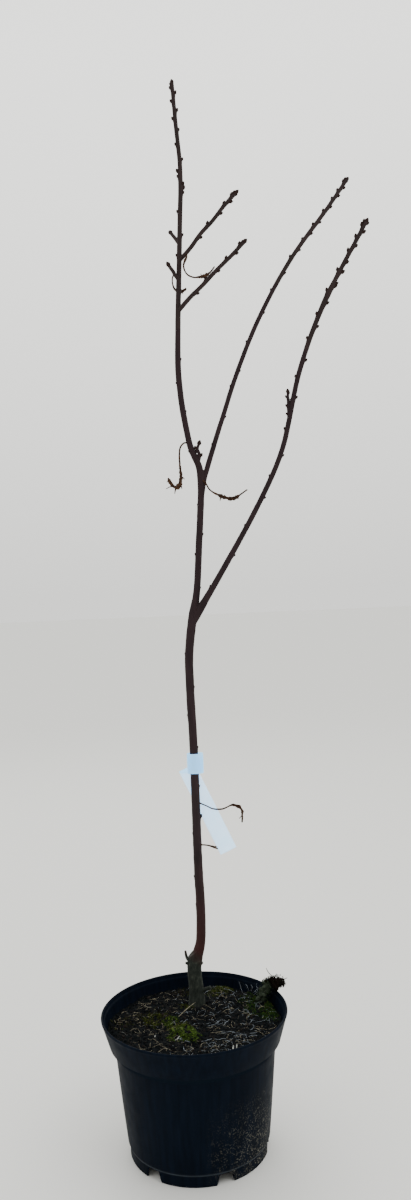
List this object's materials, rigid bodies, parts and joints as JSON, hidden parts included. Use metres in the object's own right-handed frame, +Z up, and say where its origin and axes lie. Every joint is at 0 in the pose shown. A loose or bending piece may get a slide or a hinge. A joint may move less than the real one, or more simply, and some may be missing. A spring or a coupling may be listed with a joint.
{
  "type": "potted cut-leaved sweet chestnut tree",
  "caption": "Young grafted cut-leaved sweet chestnut, bare in winter with plump buds, standing in a round black nursery pot of mossy compost.",
  "frame": {"origin": "middle of the flat underside of the pot, level with the lugs it stands on", "axes": "+Z up along the pot's axis, +X to the right and -Y towards the viewer as in the picture"},
  "size_m": [0.4409, 0.2939, 1.583],
  "materials": {
    "pot": "satin, slightly dusty, injection moulded",
    "compost": "rough, fibrous compost with moss",
    "moss_clump": "rough moss and dead stalks",
    "trunk_bark": "smooth young bark, mottled grey-green below the graft",
    "bark": "smooth young bark with pale pores",
    "twigs": "smooth first-year bark",
    "withered_leaf": "matte, dry, crumpled",
    "label": "smooth coated strip, left blank"
  },
  "bodies": {
    "root": {"pot": "pot", "root_ball": "compost", "clump": "moss_clump", "trunk": "trunk_bark", "leader": "bark", "bough_left": "bark", "bough_right_high": "bark", "bough_right_low": "bark", "twigs_left": "twigs", "twigs_right_high": "twigs", "twigs_right_low": "twigs", "label": "label", "dry_leaf_fork_right": "withered_leaf", "dry_leaf_fork_left": "withered_leaf", "dry_leaf_stem_upper": "withered_leaf", "dry_leaf_stem_lower": "withered_leaf", "dry_leaf_twig_right": "withered_leaf", "dry_leaf_twig_left": "withered_leaf"}
  },
  "joints": []
}
